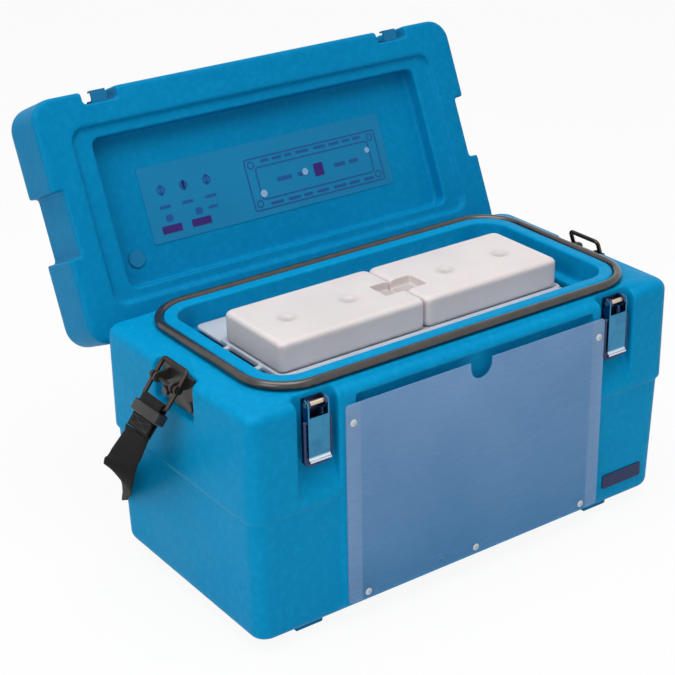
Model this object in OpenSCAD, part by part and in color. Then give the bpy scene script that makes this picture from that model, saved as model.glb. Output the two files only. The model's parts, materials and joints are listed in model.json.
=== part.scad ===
// Insulated specimen transport box, lid standing open.
// The origin is the centre of the footprint on the floor: X runs along the length,
// Y runs from the front (latch side) to the back (hinge side), Z is up.

/* [Tub] */
// Length of the tub over its upper band
body_l = 550; // [500:1:620]
// Depth of the tub over its upper band
body_w = 280; // [276:1:300]
// Height of the tub's outer edge above its underside
body_h = 257; // [245:1:290]
// Radius of the upright corners
corner_r = 16; // [8:1:24]
// Radius of the tub's top and bottom edges
edge_r = 10; // [5:1:12]
// Height above the underside where the wide upper band starts
band_h = 139; // [100:1:160]
// Step from the upper band in to the lower walls
band_step = 2.5; // [1:0.5:3]
// Draft of each lower wall from the band down to the underside
draft = 3; // [0:0.5:4]
// Height of the deck that carries the gasket above the outer edge
deck_h = 4; // [2:0.5:6]
// Thickness of the moulded skin
skin = 4; // [3:0.5:5]

/* [Cavity] */
// Length of the cavity at its mouth
cavity_l = 438; // [410:1:440]
// Depth of the cavity at its mouth, front to back
cavity_w = 204; // [190:1:206]
// Radius of the cavity's upright corners
cavity_r = 30; // [20:1:40]
// Thickness of the insulated floor
floor_t = 42; // [30:1:60]
// Width of the ledge inside the cavity that carries the tray
ledge_w = 10; // [6:1:14]
// Depth of that ledge below the top of the lip
ledge_drop = 30; // [28:1:40]
// Height of the lip above the gasket deck
lip_h = 8; // [5:0.5:9]

/* [Skids] */
// Height of the skids
skid_h = 13; // [8:1:20]
// Width of one skid
skid_w = 34; // [24:1:38]
// Distance of each skid's middle from the tub's middle
skid_x = 198; // [150:1:205]
// Distance of the skid ends from the tub's front and back faces
skid_inset = 22; // [12:1:40]

/* [Gasket] */
// Diameter of the rubber gasket tube
gasket_d = 9.5; // [7:0.5:10]
// Length between the gasket's end runs, centre to centre
gasket_l = 478; // [470:1:482]
// Depth between the gasket's long runs, centre to centre
gasket_w = 244; // [236:1:246]
// Radius of the gasket's corners at the tube's centre line
gasket_r = 50; // [40:1:60]

/* [Lid] */
// Length of the lid
lid_l = 558; // [540:1:630]
// Depth of the lid, front to back
lid_w = 268; // [264:1:272]
// Thickness of the lid
lid_t = 74; // [66:1:90]
// Radius of the lid's upright corners
lid_corner_r = 25; // [15:1:30]
// Radius of the lid's outer top edge
lid_edge_r = 12; // [6:1:14]
// Width of the flat rim around the shallow recess
lid_rim = 38; // [34:1:42]
// Depth of the shallow recess
shallow_d = 5; // [3:0.5:7]
// Width from the lid's long edges to the deep recess
deep_rim_y = 51; // [46:1:56]
// Width from the lid's ends to the deep recess
deep_rim_x = 62; // [54:1:70]
// Depth of the deep recess below the rim
deep_d = 24; // [20:1:28]
// Length along the depth of the end recesses in lid and tub
end_recess_w = 73; // [68:1:90]
// Depth of the lid's end recesses
end_recess_d = 13; // [8:1:14]
// Width of the two stacking grooves on the lid's top
groove_w = 42; // [40:1:46]
// Depth of the stacking grooves
groove_d = 10; // [6:1:12]
// Depth of the latch notches in the lid's front edge
notch_d = 14; // [10:1:16]
// Angle from closed to the lid's open stop
lid_open = 114; // [100:1:114]

/* [Hinges] */
// Distance of each hinge's middle from the box's middle
hinge_x = 175; // [120:1:200]
// Distance of the hinge axis in from the tub's back face
hinge_in = 11.5; // [11:0.5:12]
// Distance of the hinge axis below the closed lid's rim
hinge_drop = 31; // [28:0.5:34]
// Width of the lid's hinge lug
lug_w = 36; // [24:1:44]
// Radius of the lug's rounded end
lug_r = 8; // [7:0.5:8.5]
// Diameter of the hinge pin
pin_d = 6; // [4:0.5:7]

/* [Latches] */
// Distance of each latch's middle from the box's middle
latch_x = 196; // [180:1:205]
// Width of the latch recess
latch_recess_w = 48; // [44:1:56]
// Height of the latch recess below the tub's outer edge
latch_recess_h = 108; // [100:1:125]
// Depth of the latch recess
latch_recess_d = 13; // [12:0.5:13]
// Width of the lever
lever_w = 25; // [20:1:28]
// Length of the lever below its pivot
lever_l = 60; // [54:1:70]
// Depth of the lever's pivot below the tub's outer edge
pivot_drop = 6; // [5:0.5:10]
// Distance between the lever's pivot and the loop's pivot
throw = 18; // [14:0.5:20]
// Reach of the loop from its pivot to the middle of its bar
loop_l = 46; // [42:0.5:52]
// Diameter of the loop's wire
loop_d = 4; // [3:0.5:5]
// Thickness of the latch sheet metal
plate_t = 2; // [1.5:0.25:2.5]

/* [Document window] */
// Width of the clear sheet
window_w = 340; // [300:1:344]
// Height of the clear sheet
window_h = 226; // [200:1:228]
// Thickness of the clear sheet
window_t = 2; // [1:0.5:3]
// Offset of the sheet's middle from the box's middle
window_x = 5; // [0:1:6]
// Height of the sheet's lower edge above the underside
window_z = 13; // [12:1:16]
// Width of the sheet's margin that is screwed down
window_margin = 14; // [12:1:18]
// Depth of the moulded recess behind the sheet
pocket_d = 8; // [5:0.5:8]
// Width of the thumb notch in the sheet's top edge
thumb_w = 29; // [20:1:40]
// Depth of the thumb notch
thumb_d = 20; // [16:1:30]

/* [Name plate] */
// Width of the bare plate at the lower right of the front
plate_w = 58; // [40:1:64]
// Height of the bare plate
plate_h = 17; // [12:1:24]
// Distance of the plate's middle from the box's middle
plate_x = 219; // [216:1:222]
// Height of the plate's middle above the underside
plate_z = 30; // [26:1:50]

/* [Ice packs and tray] */
// Length of one ice pack
pack_l = 182.5; // [160:0.5:186]
// Depth of one ice pack, front to back
pack_w = 107; // [90:1:120]
// Thickness of one ice pack
pack_t = 34; // [28:1:36]
// Gap between the two packs
pack_gap = 1; // [0.5:0.5:3]
// Wall of the blow-moulded pack
pack_wall = 2.5; // [1.5:0.5:4]
// Thickness of the tray
tray_t = 5; // [3:0.5:8]

/* [Carrying strap] */
// Width of the webbing
strap_w = 38; // [30:1:38]
// Thickness of the webbing
strap_t = 2; // [1.5:0.5:3]
// Diameter of the strap ring's wire
ring_d = 4.8; // [4:0.2:5.4]
// Reach of the ring from its pin to the middle of its bar
ring_reach = 23; // [20:1:25]
// Height of the ring pins below the tub's outer edge
ring_drop = 12; // [11:1:20]
// Swing of the left ring's lower half out from the wall, pushed by the stiff webbing
left_swing = 38; // [0:1:38]
// Swing of the right ring's lower half
right_swing = 20; // [0:1:38]
// Distance of the ring pins out from the tub's ends
ring_out = 7; // [6:0.5:8]

/* [Hidden] */

$fn = 48;
blend_fn = 32;      // sides of the round children of a hull
eps = 0.01;         // overlap that keeps cuts and unions clean
hair = 0.03;        // step between straight and bent wire
fit = 0.05;         // radial clearance of a pin in its hole
seat = 0.3;         // gap between pieces that rest against each other
play = 1;           // gap beside a moving piece

top_z = skid_h + body_h;
deck_z = top_z + deck_h;
lip_z = deck_z + lip_h;
band_z = skid_h + band_h;
floor_z = skid_h + floor_t;
ledge_z = lip_z - ledge_drop;
gasket_z = deck_z + gasket_d / 2 + seat / 2;
rim_z = gasket_z + gasket_d / 2 + seat;
lid_top_z = rim_z + lid_t;
hinge_y = body_w / 2 - hinge_in;
hinge_z = rim_z - hinge_drop;
recess_floor_y = -body_w / 2 + latch_recess_d;
pivot_y = -body_w / 2 + 5;
pivot_z = top_z - pivot_drop;
loop_y = pivot_y - 2;
loop_z = pivot_z - throw;
loop_half = lever_w / 2 + loop_d / 2 + 0.6;
ring_x = body_l / 2 + ring_out;
ring_z = top_z - ring_drop;
end_depth = 10;     // depth of the strap recess in each end of the tub
end_floor_x = body_l / 2 - end_depth;
window_bottom = skid_h + window_z;
pack_y = -4;        // middle of the packs, a little towards the front
pack_z = ledge_z + tray_t + 2 * seat;
SIDES = [-1, 1];

// A rectangle with true round corners
module round_rect(l, w, r) {
  square([l - 2 * r, w], center = true);
  square([l, w - 2 * r], center = true);
  for (x = SIDES, y = SIDES)
    translate([x * (l / 2 - r), y * (w / 2 - r)]) circle(r);
}

module round_plate(l, w, r, h) {
  linear_extrude(h) round_rect(l, w, r);
}

// A thin outline slice of a moulded body, drawn in from the full outline by inset
module slice(l, w, r, z, inset) {
  translate([0, 0, z])
    linear_extrude(eps) round_rect(l - 2 * inset, w - 2 * inset, max(r - inset * 0.3, 1), $fn = blend_fn);
}

// Slices that round an edge of radius r; dir is 1 upwards and -1 downwards
module edge_slices(l, w, corner, r, z, dir) {
  for (a = [0, 22.5, 45, 67.5, 90])
    slice(l, w, corner, z - dir * r * (1 - sin(a)), r * (1 - cos(a)));
}

module at_hinge() {
  translate([0, hinge_y, hinge_z]) rotate([-lid_open, 0, 0]) translate([0, -hinge_y, -hinge_z]) children();
}

module x_cylinder(r, l) {
  rotate([0, 90, 0]) cylinder(r = r, h = l, center = true);
}

module y_cylinder(r, l) {
  rotate([90, 0, 0]) cylinder(r = r, h = l, center = true);
}

// Tub
hinge_pocket_w = lug_w + 14;
hinge_back_y = hinge_y - lug_r - 4.5;

module tub_outline() {
  low_l = body_l - 2 * band_step;
  low_w = body_w - 2 * band_step;
  hull() {
    edge_slices(low_l - 2 * draft, low_w - 2 * draft, corner_r, edge_r, skid_h, -1);
    slice(low_l, low_w, corner_r, band_z, 0);
  }
  hull() {
    slice(body_l, body_w, corner_r, band_z + band_step, 0);
    slice(body_l, body_w, corner_r, band_z, band_step);
    edge_slices(body_l, body_w, corner_r, edge_r, top_z, 1);
  }
  hull() {
    slice(body_l, body_w, corner_r, top_z - eps, edge_r);
    translate([0, 0, deck_z - eps])
      linear_extrude(eps)
        round_rect(gasket_l + gasket_d + 12, gasket_w + gasket_d + 4, gasket_r, $fn = blend_fn);
  }
}

module skids() {
  for (x = SIDES)
    translate([x * skid_x, 0, 0])
      translate([0, 0, skid_h / 2 + 2])
        cube([skid_w, body_w - 2 * skid_inset, skid_h + 4], center = true);
}

module lip() {
  translate([0, 0, deck_z - 2])
    round_plate(gasket_l - gasket_d - 2 * seat, gasket_w - gasket_d - 2 * seat,
                gasket_r - gasket_d / 2 - seat, lip_h + 2);
}

module cavity(grow = 0) {
  translate([0, 0, ledge_z - grow])
    round_plate(cavity_l + 2 * grow, cavity_w + 2 * grow, cavity_r + grow, lip_z - ledge_z + 2 * grow + 1);
  translate([0, 0, floor_z - grow])
    round_plate(cavity_l - 2 * ledge_w + 2 * grow, cavity_w - 2 * ledge_w + 2 * grow,
                cavity_r - ledge_w / 2 + grow, lip_z - floor_z);
}

// The recess is a wedge: deep at the top and running out to the face at its foot
module latch_recess() {
  foot = top_z - latch_recess_h;
  knee = foot + 34;
  front = -body_w / 2;
  for (x = SIDES)
    translate([x * latch_x - latch_recess_w / 2, 0, 0])
      rotate([90, 0, 90])
        linear_extrude(latch_recess_w)
          polygon([[front - 5, foot], [front + 1, foot], [recess_floor_y, knee],
                   [recess_floor_y, deck_z + 1], [front - 5, deck_z + 1]]);
}

module hinge_pockets() {
  for (x = SIDES)
    translate([x * hinge_x, 0, 0]) {
      translate([-hinge_pocket_w / 2, hinge_back_y, hinge_z - 15])
        cube([hinge_pocket_w, body_w, 15 + lug_r + play]);
      translate([-hinge_pocket_w / 2, hinge_y - 1.2, hinge_z])
        cube([hinge_pocket_w, body_w, body_h]);
    }
}

module end_recesses() {
  for (x = SIDES)
    translate([x * (end_floor_x + 10), 0, ring_z - 34 + 50])
      cube([20, end_recess_w, 100], center = true);
}

module document_recess() {
  w = window_w - 2 * window_margin;
  z = window_bottom + window_margin;
  translate([window_x - w / 2, -body_w / 2 - 5, z])
    cube([w, 5 + pocket_d, top_z - edge_r - z]);
}

// Raised pad on the lower front wall that carries the sheet in the plane of the upper band
module document_pad() {
  z = window_bottom - pad_rim;
  translate([window_x - window_w / 2 - pad_rim, -body_w / 2, z])
    cube([window_w + 2 * pad_rim, pocket_d + skin, band_z + band_step - z + 1]);
}
pad_rim = 3;        // width of the pad outside the sheet

module screw_spots() {
  top = window_bottom + window_h - 20;
  low = window_bottom + 7;
  side = window_w / 2 - 8;
  for (p = [[-side, top], [side, top], [-side + 16, low], [side - 16, low], [-4, low]])
    translate([window_x + p[0], 0, p[1]]) children();
}

window_back_y = -body_w / 2 - seat / 2;
screw_r = 1.6;      // shank radius of the small screws and rivets

module tub_shell() {
  color("deepskyblue")
    difference() {
      union() {
        tub_outline();
        document_pad();
        skids();
        lip();
      }
      cavity();
      foam_space(0);
      latch_recess();
      hinge_pockets();
      end_recesses();
      document_recess();
      plug_hole();
      tub_fixing_holes();
    }
}

plug_r = 14;        // radius of the foam filling holes
module plug_hole() {
  translate([0, 0, skid_h - 1]) cylinder(r = plug_r + fit, h = skin + edge_r / 2 + 2);
}

module tub_fixing_holes() {
  screw_spots() translate([0, -body_w / 2 + 4, 0]) y_cylinder(screw_r + fit, 9);
  rivet_spots() translate([0, recess_floor_y + 1.2, 0]) y_cylinder(screw_r + fit, 4.4);
  hinge_screw_spots() translate([0, hinge_back_y - 1.2, 0]) y_cylinder(2 + fit, 4.6);
  bolt_spots() translate([end_floor_x - 1.2, 0, 0]) x_cylinder(3 + fit, 4.6);
}

// The hollow between the skins, and with a gap the foam that fills it
module foam_space(gap) {
  low_in = skin + band_step + draft + 3 + gap;
  high_in_x = end_depth + skin + gap;
  high_front = latch_recess_d + skin + gap;
  high_back = hinge_in + lug_r + 4.5 + skin + gap;
  split_z = top_z - latch_recess_h - skin;
  difference() {
    union() {
      translate([0, 0, skid_h + skin + edge_r / 2 + gap])
        round_plate(body_l - 2 * low_in, body_w - 2 * low_in, corner_r, split_z - skid_h - skin - edge_r / 2 - gap);
      translate([0, (high_front - high_back) / 2, split_z - 1])
        round_plate(body_l - 2 * high_in_x, body_w - high_front - high_back, corner_r,
                    top_z - split_z - skin - gap - 1);
    }
    cavity(skin + gap);
  }
}

module tub_foam() {
  color("khaki") foam_space(seat);
}

module tub_fill_plug() {
  color("deepskyblue")
    translate([0, 0, skid_h - 0.5]) {
      cylinder(r = plug_r, h = skin + edge_r / 2 + 0.2);
      translate([0, 0, -1.5]) cylinder(r = plug_r + 3, h = 1.8 - 0.1);
    }
}

module lid_gasket() {
  color("#2b2220")
    difference() {
      translate([0, 0, gasket_z]) gasket_ring(gasket_d / 2);
      translate([0, 0, gasket_z]) gasket_ring(gasket_d / 2 - 2);
    }
}

module gasket_ring(r) {
  lx = gasket_l / 2;
  ly = gasket_w / 2;
  for (y = SIDES)
    translate([0, y * ly, 0]) x_cylinder(r, gasket_l - 2 * gasket_r + 0.02);
  for (x = SIDES)
    translate([x * lx, 0, 0]) y_cylinder(r, gasket_w - 2 * gasket_r + 0.02);
  for (q = [[1, 1, 0], [-1, 1, 90], [-1, -1, 180], [1, -1, 270]])
    translate([q[0] * (lx - gasket_r), q[1] * (ly - gasket_r), 0])
      rotate([0, 0, q[2]])
        rotate_extrude(angle = 90)
          translate([gasket_r, 0]) circle(r);
}

// Document window
module document_window() {
  color("#8fb4dc", 0.6)
    difference() {
      translate([window_x, window_back_y, window_bottom])
        rotate([90, 0, 0])
          linear_extrude(window_t)
            difference() {
              translate([0, window_h / 2]) round_rect(window_w, window_h, 4);
              translate([0, window_h - (thumb_d - thumb_w / 2) / 2 + 1])
                square([thumb_w, thumb_d - thumb_w / 2 + 2], center = true);
              translate([0, window_h - thumb_d + thumb_w / 2]) circle(thumb_w / 2);
            }
      screw_spots() translate([0, window_back_y - window_t / 2, 0]) y_cylinder(screw_r + 0.3, window_t + 2);
    }
}

module window_screws() {
  head_y = window_back_y - window_t - seat / 2;
  color("silver")
    screw_spots() {
      translate([0, head_y - 0.9, 0]) y_cylinder(4, 1.8);
      translate([0, head_y + 5, 0]) y_cylinder(screw_r, 10.4);
    }
}

module name_plate() {
  y = -body_w / 2 + band_step + draft * (1 - plate_z / band_h);
  color("#1d2747")
    translate([plate_x, y - 0.2, skid_h + plate_z])
      rotate([90 + atan(draft / band_h), 0, 0])
        linear_extrude(1) round_rect(plate_w, plate_h, 2);
}

// Hinges
module hinge_screw_spots() {
  for (x = SIDES, s = SIDES)
    translate([x * hinge_x + s * 9, 0, hinge_z - 8]) children();
}

module hinge_bracket(side) {
  plate_y = hinge_back_y + seat / 2;
  ear_x = lug_w / 2 + 0.6;
  color("silver")
    translate([side * hinge_x, 0, 0])
      difference() {
        union() {
          translate([-ear_x - 2.5, plate_y, hinge_z - 13]) cube([2 * ear_x + 5, 2.5, 13 + lug_r - 1]);
          for (s = SIDES)
            translate([s * (ear_x + 1.25), 0, 0]) {
              translate([0, hinge_y, hinge_z]) x_cylinder(6.5, 2.5);
              translate([-1.25, plate_y, hinge_z - 6.5]) cube([2.5, hinge_y - plate_y, 13]);
            }
        }
        translate([0, hinge_y, hinge_z]) x_cylinder(pin_d / 2 + fit, lug_w * 2);
        for (s = SIDES)
          translate([s * 9, plate_y + 1, hinge_z - 8]) y_cylinder(2 + fit, 8);
      }
}

module hinge_pin(side) {
  l = lug_w + 9;
  color("gainsboro")
    translate([side * hinge_x, hinge_y, hinge_z]) {
      x_cylinder(pin_d / 2, l);
      for (s = SIDES)
        translate([s * (l / 2 - 0.6), 0, 0]) x_cylinder(pin_d / 2 + 1.6, 1.2);
    }
}

module hinge_screws() {
  y = hinge_back_y + seat + 2.5;
  color("gainsboro")
    hinge_screw_spots() {
      translate([0, y + 0.5, 0]) y_cylinder(3.2, 1);
      translate([0, y - 2.9, 0]) y_cylinder(2, 6);
    }
}

// Latches
lever_arm = 1.7;    // thickness of the lever's side arms
ear_half = lever_w / 2 - lever_arm - 0.3;

module rivet_spots() {
  for (x = SIDES, s = SIDES, drop = [36, 58])
    translate([x * latch_x + s * 9, 0, pivot_z - drop]) children();
}

module latch_base(side) {
  face = recess_floor_y - seat / 2;
  h = 66;
  color("lightsteelblue")
    difference() {
      translate([side * latch_x, 0, 0]) {
        translate([-12, face - plate_t, pivot_z - h]) cube([24, plate_t, h + 4]);
        for (s = SIDES)
          translate([s * (ear_half - plate_t / 2), 0, 0]) {
            translate([0, pivot_y, pivot_z]) x_cylinder(4.6, plate_t);
            translate([-plate_t / 2, pivot_y, pivot_z - 8])
              cube([plate_t, face - pivot_y - plate_t / 2, 12.6]);
          }
      }
      translate([side * latch_x, pivot_y, pivot_z]) x_cylinder(2.5 + fit, lever_w * 2);
      rivet_spots() translate([0, face - 1, 0]) y_cylinder(screw_r + fit, 8);
    }
}

module latch_rivets() {
  y = recess_floor_y - seat / 2 - plate_t - seat / 2;
  color("lightsteelblue")
    rivet_spots() {
      translate([0, y - 0.6, 0]) y_cylinder(2.8, 1.2);
      translate([0, y + 2.5, 0]) y_cylinder(screw_r, 5.2);
    }
}

module latch_pin(side) {
  color("#c9b68f")
    translate([side * latch_x, pivot_y, pivot_z]) x_cylinder(2.5, lever_w + 0.4);
}

// The lever is a channel: two arms, a window below the pin, a face and a lip that curls outwards
module latch_lever(side) {
  face_y = pivot_y - 5;
  foot = pivot_z - lever_l;
  lip_r = 4.5;
  arm_back = pivot_y + 4.5;
  color("lightsteelblue")
    translate([side * latch_x, 0, 0])
      difference() {
        union() {
          translate([-lever_w / 2, face_y, foot + lip_r]) cube([lever_w, plate_t, lever_l - lip_r - 13]);
          translate([0, face_y - lip_r + plate_t, foot + lip_r])
            rotate([90, 0, 90])
              linear_extrude(lever_w, center = true)
                difference() {
                  circle(lip_r);
                  circle(lip_r - plate_t);
                  translate([-2 * lip_r, 0]) square([4 * lip_r, 2 * lip_r]);
                  translate([-2 * lip_r, -2 * lip_r]) square([2 * lip_r, 4 * lip_r]);
                }
          for (s = SIDES)
            translate([s * (lever_w - lever_arm) / 2, 0, 0])
              rotate([90, 0, 90])
                linear_extrude(lever_arm, center = true)
                  polygon([[face_y + eps, foot + lip_r + 2], [face_y + plate_t, foot + lip_r + 1],
                           [pivot_y + 2, loop_z - 9], [arm_back, pivot_z],
                           [pivot_y + 2, pivot_z + 4.5], [face_y + 1, pivot_z + 3],
                           [face_y + eps, pivot_z - 3]]);
        }
        translate([0, pivot_y, pivot_z]) x_cylinder(2.5 + fit, lever_w * 2);
        translate([0, loop_y, loop_z]) x_cylinder(loop_d / 2 + fit, lever_w * 2);
      }
}

// A quarter turn of round wire in the upright plane through X, a hair thinner than the straights
module wire_bend(x, z, angle, bend, r) {
  translate([x, 0, z])
    rotate([90, 0, 0])
      rotate([0, 0, angle])
        rotate_extrude(angle = 90) translate([bend, 0]) circle(r - hair);
}

module latch_loop(side) {
  r = loop_d / 2;
  bend = 6;
  inner = ear_half + 1.2;
  color("lightsteelblue")
    translate([side * latch_x, loop_y, loop_z]) {
      for (s = SIDES) {
        translate([s * (loop_half + inner) / 2, 0, 0]) x_cylinder(r, loop_half - inner);
        translate([s * loop_half, 0, 0]) sphere(r - hair);
        translate([s * loop_half, 0, bend - loop_l - 2 * eps]) cylinder(r = r, h = loop_l - bend + 2 * eps);
        wire_bend(s * (loop_half - bend), bend - loop_l, s > 0 ? 270 : 180, bend, r);
      }
      translate([0, 0, -loop_l]) x_cylinder(r, 2 * (loop_half - bend) + 4 * eps);
    }
}

// Where the loop's bar lies when it holds the closed lid down
bar_y = -lid_w / 2 + 5.5;
bar_z = loop_z + sqrt(loop_l * loop_l - (bar_y - loop_y) * (bar_y - loop_y));
notch_y = -lid_w / 2 + notch_d;

module keeper_rivet_spots() {
  for (x = SIDES, s = SIDES)
    translate([x * latch_x + s * 5, 0, bar_z + 12]) children();
}

module latch_keeper(side) {
  shelf = bar_z - loop_d / 2 - plate_t;
  back = notch_y - seat / 2;
  color("lightsteelblue")
    at_hinge()
      difference() {
        translate([side * latch_x - 9, 0, 0])
          rotate([90, 0, 90])
            linear_extrude(18)
              polygon([[back, bar_z + 17], [back, shelf], [bar_y - 5, shelf], [bar_y - 5, bar_z + 3],
                       [bar_y - 5 + plate_t, bar_z + 3], [bar_y - 5 + plate_t, shelf + plate_t],
                       [back - plate_t, shelf + plate_t], [back - plate_t, bar_z + 17]]);
        keeper_rivet_spots() translate([0, back, 0]) y_cylinder(screw_r + fit, 10);
      }
}

module keeper_rivets() {
  y = notch_y - plate_t - seat;
  color("lightsteelblue")
    at_hinge()
      keeper_rivet_spots() {
        translate([0, y - 0.6, 0]) y_cylinder(2.8, 1.2);
        translate([0, y + 2.4, 0]) y_cylinder(screw_r, 5.4);
      }
}

// Lid, drawn closed and swung open about the hinge axis
module lid_outline() {
  hull() {
    edge_slices(lid_l, lid_w, lid_corner_r, 4, rim_z, -1);
    edge_slices(lid_l, lid_w, lid_corner_r, lid_edge_r, lid_top_z, 1);
  }
}

module lid_lugs() {
  for (x = SIDES)
    translate([x * hinge_x, 0, 0]) {
      translate([0, hinge_y, hinge_z]) x_cylinder(lug_r, lug_w);
      translate([-lug_w / 2, hinge_y - 0.3, hinge_z]) cube([lug_w, lug_r + 0.3, rim_z - hinge_z + 24]);
    }
}

module deep_recess(grow) {
  translate([0, 0, rim_z - 1])
    round_plate(lid_l - 2 * deep_rim_x + 2 * grow, lid_w - 2 * deep_rim_y + 2 * grow, 10 + grow,
                deep_d + 1 + grow);
}

module lid_shell() {
  color("deepskyblue")
    at_hinge()
      difference() {
        union() {
          lid_outline();
          lid_lugs();
        }
        deep_recess(0);
        translate([0, 0, rim_z - 1])
          round_plate(lid_l - 2 * lid_rim, lid_w - 2 * lid_rim, 15, shallow_d + 1);
        lid_space(0);
        for (x = SIDES) {
          translate([x * lid_l / 2, 0, rim_z + lid_t / 2])
            cube([2 * end_recess_d, end_recess_w, lid_t * 2], center = true);
          translate([x * skid_x, 0, lid_top_z])
            cube([groove_w, lid_w * 2, 2 * groove_d], center = true);
          translate([x * latch_x, -lid_w / 2, rim_z + lid_t / 2])
            cube([groove_w, 2 * notch_d, lid_t * 2], center = true);
        }
        translate([0, hinge_y, hinge_z]) x_cylinder(pin_d / 2 + fit, lid_l - 2);
        keeper_rivet_spots() translate([0, notch_y, 0]) y_cylinder(screw_r + fit, 8);
        lid_plug_at() translate([0, 0, -1]) cylinder(r = lid_plug_r + fit, h = skin + 4);
      }
}

// The hollow in the lid, and with a gap the foam that fills it
module lid_space(gap) {
  x = lid_l - 2 * (end_recess_d + skin + gap);
  front = notch_d + skin + gap;
  back = skin + 4 + gap;
  low = rim_z + shallow_d + skin + gap;
  high = lid_top_z - groove_d - skin - gap;
  difference() {
    translate([0, (front - back) / 2, low])
      round_plate(x, lid_w - front - back, lid_corner_r, high - low);
    deep_recess(skin + gap);
  }
}

module lid_foam() {
  color("khaki") at_hinge() lid_space(seat);
}

lid_plug_r = 7;     // radius of the lid's foam filling hole
module lid_plug_at() {
  translate([-lid_l / 2 + 86, lid_w / 2 - 81, rim_z + deep_d]) children();
}

module lid_fill_plug() {
  color("slategray")
    at_hinge()
      lid_plug_at() {
        cylinder(r = lid_plug_r, h = skin - 0.2);
        translate([0, 0, -1.6]) cylinder(r = lid_plug_r + 2.5, h = 1.3 + 0.1);
        translate([0, 0, -0.5]) cylinder(r = lid_plug_r, h = 1);
      }
}

module lid_label() {
  color("#12869f")
    at_hinge()
      translate([label_x, label_y, rim_z + deep_d - seat / 2 - 0.5])
        round_plate(label_l, label_w, 3, 0.5);
}
label_l = 330;      // length of the printed instruction film
label_w = 86;       // depth of the film
label_x = -2;
label_y = 1;

// Carrying strap fittings, drawn for the right end and turned half round for the left
module at_end(side) {
  rotate([0, 0, side > 0 ? 0 : 180]) children();
}

ears_y = 15.5;      // middle of each bracket ear from the ring's middle
ring_half = strap_w / 2 + 1 + ring_d / 2;

module bolt_spots() {
  for (s = SIDES, y = SIDES)
    at_end(s) translate([0, y * 24, ring_z - 22]) children();
}

module strap_bracket(side) {
  x = end_floor_x + seat / 2;
  color("#1c1c1e")
    at_end(side)
      difference() {
        union() {
          translate([x, -30, ring_z - 30]) cube([3, 60, 39]);
          for (s = SIDES)
            translate([0, s * ears_y, 0]) {
              translate([x, -1.5, ring_z - 5.5]) cube([ring_x - x, 3, 11]);
              translate([ring_x, 0, ring_z]) y_cylinder(5.5, 3);
            }
        }
        translate([ring_x, 0, ring_z]) y_cylinder(2 + fit, 60);
        for (y = SIDES)
          translate([x, y * 24, ring_z - 22]) x_cylinder(3 + fit, 12);
      }
}

module strap_bolts() {
  x = end_floor_x + seat + 3;
  color("dimgray")
    bolt_spots() {
      translate([x + 1.5, 0, 0]) x_cylinder(5, 3);
      translate([x - 3.2, 0, 0]) x_cylinder(3, 6.8);
    }
}

module strap_pin(side) {
  color("dimgray")
    at_end(side)
      translate([ring_x, 0, ring_z]) {
        y_cylinder(2, 2 * ring_half + ring_d + 3);
        for (s = SIDES)
          translate([0, s * (ring_half + ring_d / 2 + 1), 0]) y_cylinder(3.4, 1.4);
      }
}

// Everything that hangs on a ring's lower bar turns with the ring about its pin
module at_ring(side) {
  swing = side > 0 ? right_swing : left_swing;
  at_end(side) translate([ring_x, 0, ring_z]) rotate([0, -swing, 0]) children();
}

// A ring with eyes near its middle: the upper half stands above the edge, the lower bar holds the webbing
module strap_ring(side) {
  r = ring_d / 2;
  bend = 4;
  flat = ring_half - bend;
  color("#3a3532")
    at_ring(side)
      difference() {
        rotate([0, 0, 90]) {
          wire_bend(flat, ring_up - bend, 0, bend, r);
          wire_bend(-flat, ring_up - bend, 90, bend, r);
          wire_bend(-flat, bend - ring_reach, 180, bend, r);
          wire_bend(flat, bend - ring_reach, 270, bend, r);
          for (z = [ring_up, -ring_reach])
            translate([0, 0, z]) x_cylinder(r, 2 * flat + 4 * eps);
          for (s = SIDES) {
            translate([s * ring_half, 0, bend - ring_reach - 2 * eps])
              cylinder(r = r, h = ring_up + ring_reach - 2 * bend + 4 * eps);
            translate([s * ring_half, 0, 0]) x_cylinder(4.6, ring_d - 0.8);
          }
        }
        y_cylinder(2 + fit, 3 * ring_half);
      }
}
ring_up = 20;       // height of the ring's upper bar above its pin

end_drop = 32;      // length of the sewn loop below the ring's lower bar
slider_drop = 11;   // drop of the slider's middle below that bar
loop_in = ring_d / 2 + 0.4;

// The webbing's end, turned round the lower bar and sewn to itself
module strap_end(side) {
  color("#171719")
    at_ring(side)
      translate([0, strap_w / 2, -ring_reach])
        rotate([90, 0, 0])
          linear_extrude(strap_w)
            difference() {
              union() {
                circle(loop_in + strap_t);
                translate([-loop_in - strap_t, -end_drop]) square([2 * (loop_in + strap_t), end_drop]);
              }
              circle(loop_in);
              translate([-loop_in, 2 * strap_t - end_drop])
                square([2 * loop_in, end_drop - 2 * strap_t]);
            }
}

module strap_slider(side) {
  out = loop_in + strap_t + seat;
  color("#0f0f10")
    at_ring(side)
      translate([0, 0, -ring_reach - slider_drop])
        difference() {
          cube([2 * out + 3, strap_w + 8, 12], center = true);
          cube([2 * out, strap_w + 2 * seat, 14], center = true);
        }
}

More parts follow.
